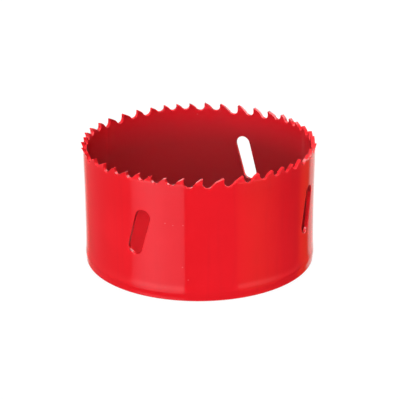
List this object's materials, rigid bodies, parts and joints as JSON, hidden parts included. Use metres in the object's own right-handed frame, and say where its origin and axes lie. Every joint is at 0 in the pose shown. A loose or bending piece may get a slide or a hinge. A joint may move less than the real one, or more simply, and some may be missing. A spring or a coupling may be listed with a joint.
{
  "type": "hole saw",
  "caption": "Cup-shaped bi-metal hole saw: thin toothed cylindrical wall with slanted slug slots, welded to a round back plate with an arbor thread and drive pin holes.",
  "frame": {"origin": "centre of the outer face of the back plate, which the saw stands on", "axes": "+Z along the axis of the saw, from the back plate towards the teeth; -Y is the side that faces the viewer in the picture"},
  "size_m": [0.0781, 0.0781, 0.0419],
  "materials": {
    "red_lacquer": "gloss red baked lacquer over steel"
  },
  "bodies": {
    "root": {"toothed_wall": "red_lacquer", "back_plate": "red_lacquer"}
  },
  "joints": []
}
